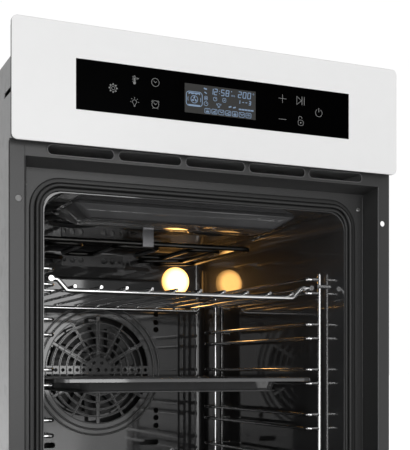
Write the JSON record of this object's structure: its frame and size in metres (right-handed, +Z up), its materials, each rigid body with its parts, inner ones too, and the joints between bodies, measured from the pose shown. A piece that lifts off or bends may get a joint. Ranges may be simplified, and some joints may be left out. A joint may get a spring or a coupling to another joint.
{
  "type": "wall oven",
  "caption": "Slim built-in wall oven with a flat glass control panel, drop-down door, enamelled cavity, side racks, wire shelf, shallow tray and rear fan baffle.",
  "frame": {"origin": "middle of the niche's front edge: Y 0 is the furniture's front plane that the side flanges touch, Z 0 is the underside of the base plate, X 0 is the oven's middle", "axes": "+X to the right seen from the front, +Y back into the niche, +Z up"},
  "size_m": [0.448, 0.997, 0.595],
  "materials": {
    "white_glass": "gloss",
    "black_glass": "gloss",
    "lcd": "satin",
    "black_plastic": "matt",
    "white_plastic": "matt",
    "circuit_board": "satin",
    "spring_steel": "satin",
    "black_paint": "satin powder coat",
    "gasket_rubber": "matt",
    "zinc_steel": "zinc plated",
    "black_enamel": "gloss vitreous enamel",
    "enamel_trim": "satin",
    "tray_enamel": "satin vitreous enamel",
    "fan_steel": "satin",
    "motor_steel": "satin",
    "element_steel": "satin, heat tinted",
    "lamp_glass": "gloss",
    "ceramic": "glazed",
    "chrome_wire": "polished",
    "galvanised": "galvanised sheet",
    "glass_wool": "felted fibre",
    "door_glass": "gloss",
    "white_metal": "satin"
  },
  "bodies": {
    "oven": {"air_duct": "galvanised", "baffle_screws": "zinc_steel", "base_plate": "galvanised", "blower_housing": "galvanised", "blower_motor": "motor_steel", "bottom_element": "element_steel", "cable_gland": "black_plastic", "case_screws": "zinc_steel", "cavity": "black_enamel", "control_board": "circuit_board", "control_glass": "white_glass", "display_window": "black_glass", "door_gasket": "gasket_rubber", "fan_baffle": "black_enamel", "fan_motor": "motor_steel", "flange_left": "black_paint", "flange_right": "black_paint", "front_frame": "black_paint", "grill_bracket": "fan_steel", "grill_element": "element_steel", "grill_inner_element": "element_steel", "hinge_arms": "zinc_steel", "hinge_sockets": "zinc_steel", "insulation": "glass_wool", "lamp_bulb": "lamp_glass", "lamp_glass": "lamp_glass", "lamp_holder": "ceramic", "lcd_module": "black_plastic", "lcd_screen": "lcd", "panel_carrier": "black_plastic", "power_board": "circuit_board", "rack_pins": "chrome_wire", "rear_panel": "galvanised", "ring_element": "element_steel", "side_panel_left": "galvanised", "side_panel_right": "galvanised", "side_rack_left": "chrome_wire", "side_rack_right": "chrome_wire", "steam_vent": "enamel_trim", "temperature_probe": "fan_steel", "terminal_block": "white_plastic", "thermal_cutout": "ceramic", "top_cover": "galvanised", "touch_springs": "spring_steel", "vent_plate": "black_paint"},
    "door": {"door_bottom_bar": "black_plastic", "door_columns": "black_plastic", "door_handle": "white_metal", "door_inner_glass": "door_glass", "door_middle_glass": "door_glass", "door_outer_glass": "white_glass", "door_top_bar": "black_plastic", "hinge_bodies": "zinc_steel", "hinge_pins": "zinc_steel", "hinge_springs": "spring_steel"},
    "shelf": {"wire_shelf": "chrome_wire"},
    "tray": {"baking_tray": "tray_enamel"},
    "hot_air_fan": {"convection_fan": "fan_steel", "fan_shaft": "fan_steel"},
    "cooling_impeller": {"blower_impeller": "fan_steel"}
  },
  "joints": [
    {"name": "door_hinge", "type": "hinge", "parent": "oven", "child": "door", "pos_m": [0, -0.007, 0.024], "axis": [-1, 0, 0], "range_deg": [0, 90]},
    {"name": "shelf_slide", "type": "slide", "parent": "oven", "child": "shelf", "axis": [0, 1, 0], "range_m": [-0.24, 0]},
    {"name": "tray_slide", "type": "slide", "parent": "oven", "child": "tray", "axis": [0, 1, 0], "range_m": [-0.24, 0]},
    {"name": "hot_air_fan_spin", "type": "hinge", "parent": "oven", "child": "hot_air_fan", "pos_m": [0, 0.436, 0.2474], "axis": [0, 1, 0], "continuous": true},
    {"name": "cooling_fan_spin", "type": "hinge", "parent": "oven", "child": "cooling_impeller", "pos_m": [0, 0.33, 0.49], "axis": [0, 0, 1], "continuous": true}
  ]
}
